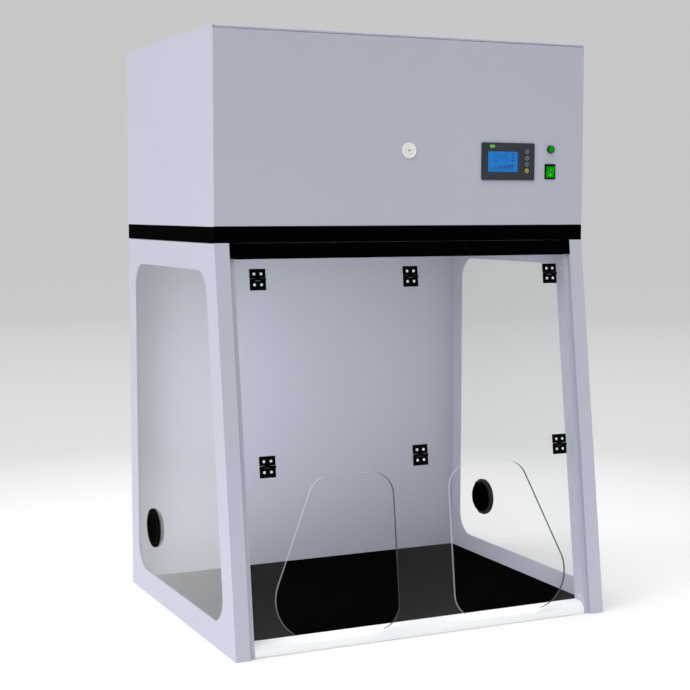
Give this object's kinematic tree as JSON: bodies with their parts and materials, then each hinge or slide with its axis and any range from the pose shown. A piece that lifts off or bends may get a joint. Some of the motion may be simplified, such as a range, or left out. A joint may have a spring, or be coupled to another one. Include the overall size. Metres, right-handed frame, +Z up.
{
  "type": "laboratory fume enclosure",
  "caption": "Bench-top filtering lab enclosure: clear folding front with hand holes, clear side windows with cable ports, and a head with filters and a fan.",
  "frame": {"origin": "on the bench, under the middle of the enclosure's outer box", "axes": "+Z up, -Y out of the clear front, +X to the right seen from the front"},
  "size_m": [0.806, 0.634, 1.1548],
  "materials": {
    "white_coat": "fine powder coat, satin",
    "black_coat": "satin black powder coat",
    "clear_sheet": "polished clear acrylic",
    "side_sheet": "polished clear acrylic",
    "black_board": "smooth black laminate",
    "white_sill": "moulded white, semi-gloss",
    "hinge_black": "black coated steel",
    "screw_steel": "bright zinc",
    "pin_steel": "plain steel",
    "port_grey": "moulded dark grey",
    "port_cap": "moulded black",
    "rubber_seal": "moulded rubber section",
    "lock_metal": "dull chrome",
    "panel_slate": "dark slate moulding",
    "screen_blue": "blue lit screen under a clear window",
    "key_dark": "dark rubber",
    "key_yellow": "dark rubber with a yellow ring",
    "lamp_black": "moulded black",
    "lamp_green": "clear green",
    "rocker_green": "clear green",
    "galvanised": "galvanised sheet",
    "motor_black": "black enamel",
    "wheel_grey": "glass-filled nylon",
    "carbon": "packed carbon granules",
    "filter_cloth": "white fibre mat",
    "inlet_black": "moulded black"
  },
  "bodies": {
    "cabinet": {"left_frame": "white_coat", "right_frame": "white_coat", "jamb_screws": "screw_steel", "left_window": "side_sheet", "right_window": "side_sheet", "port_bodies": "port_grey", "port_nuts": "port_grey", "back_panel": "white_coat", "back_screws": "screw_steel", "floor_board": "black_board", "sill": "white_sill", "base_band": "black_coat", "header_bar": "black_coat", "top_strip": "clear_sheet", "strip_leaves": "hinge_black", "strip_screws": "screw_steel", "upper_hinge_pins": "pin_steel", "head_casing": "white_coat", "head_top": "white_coat", "cover_screws": "screw_steel", "exhaust_guard": "white_coat", "door_hinge_fixed_leaf": "white_coat", "door_hinge_pin": "pin_steel", "fan_deck": "galvanised", "fan_inlet": "galvanised", "fan_motor": "motor_black", "motor_bracket": "galvanised", "filter_case": "white_coat", "carbon_bed": "carbon", "pre_filter": "filter_cloth", "power_inlet": "inlet_black"},
    "upper_flap": {"upper_flap": "clear_sheet", "upper_flap_top_leaves": "hinge_black", "upper_flap_low_leaves": "hinge_black", "upper_flap_screws": "screw_steel", "lower_hinge_pins": "pin_steel"},
    "lower_flap": {"lower_flap": "clear_sheet", "lower_flap_leaves": "hinge_black", "lower_flap_screws": "screw_steel"},
    "door": {"front_door": "white_coat", "door_seal": "rubber_seal", "door_hinge_moving_leaf": "white_coat", "controller": "panel_slate", "lcd_screen": "screen_blue", "lamp_ring": "lamp_black", "lamp_lens": "lamp_green", "rocker_bezel": "lamp_black", "lock_body": "lock_metal"},
    "lock": {"lock_plug": "lock_metal", "lock_cam": "pin_steel"},
    "rocker": {"rocker": "rocker_green"},
    "key_1": {"key_1": "key_dark"},
    "key_2": {"key_2": "key_dark"},
    "key_3": {"key_3": "key_dark"},
    "key_4": {"key_4": "key_yellow"},
    "fan": {"fan_wheel": "wheel_grey"},
    "left_port_cap": {"left_port_cap": "port_cap"},
    "right_port_cap": {"right_port_cap": "port_cap"}
  },
  "joints": [
    {"name": "upper_flap_swing", "type": "hinge", "parent": "cabinet", "child": "upper_flap", "pos_m": [0, -0.22817, 0.68875], "axis": [-1, 0, 0], "range_deg": [0, 90]},
    {"name": "lower_flap_fold", "type": "hinge", "parent": "upper_flap", "child": "lower_flap", "pos_m": [0, -0.27309, 0.34568], "axis": [-1, 0, 0], "range_deg": [0, 165]},
    {"name": "door_swing", "type": "hinge", "parent": "cabinet", "child": "door", "pos_m": [0, -0.215, 1.148], "axis": [-1, 0, 0], "range_deg": [0, 90]},
    {"name": "lock_turn", "type": "hinge", "parent": "door", "child": "lock", "pos_m": [0, -0.205, 0.931], "axis": [0, 1, 0], "range_deg": [-90, 0]},
    {"name": "rocker_tilt", "type": "hinge", "parent": "door", "child": "rocker", "pos_m": [0.3215, -0.215, 0.8935], "axis": [1, 0, 0], "range_deg": [-16, 0]},
    {"name": "key_1_press", "type": "slide", "parent": "door", "child": "key_1", "axis": [0, 1, 0], "range_m": [0, 0.0008], "stiffness_N_per_m": 900, "springref_m": -0.0006},
    {"name": "key_2_press", "type": "slide", "parent": "door", "child": "key_2", "axis": [0, 1, 0], "range_m": [0, 0.0008], "stiffness_N_per_m": 900, "springref_m": -0.0006},
    {"name": "key_3_press", "type": "slide", "parent": "door", "child": "key_3", "axis": [0, 1, 0], "range_m": [0, 0.0008], "stiffness_N_per_m": 900, "springref_m": -0.0006},
    {"name": "key_4_press", "type": "slide", "parent": "door", "child": "key_4", "axis": [0, 1, 0], "range_m": [0, 0.0008], "stiffness_N_per_m": 900, "springref_m": -0.0006},
    {"name": "fan_spin", "type": "hinge", "parent": "cabinet", "child": "fan", "pos_m": [0, 0.055, 1], "axis": [0, 0, 1], "continuous": true},
    {"name": "left_cap_pull", "type": "slide", "parent": "cabinet", "child": "left_port_cap", "axis": [-1, 0, 0], "range_m": [0, 0.03]},
    {"name": "right_cap_pull", "type": "slide", "parent": "cabinet", "child": "right_port_cap", "axis": [1, 0, 0], "range_m": [0, 0.03]}
  ]
}
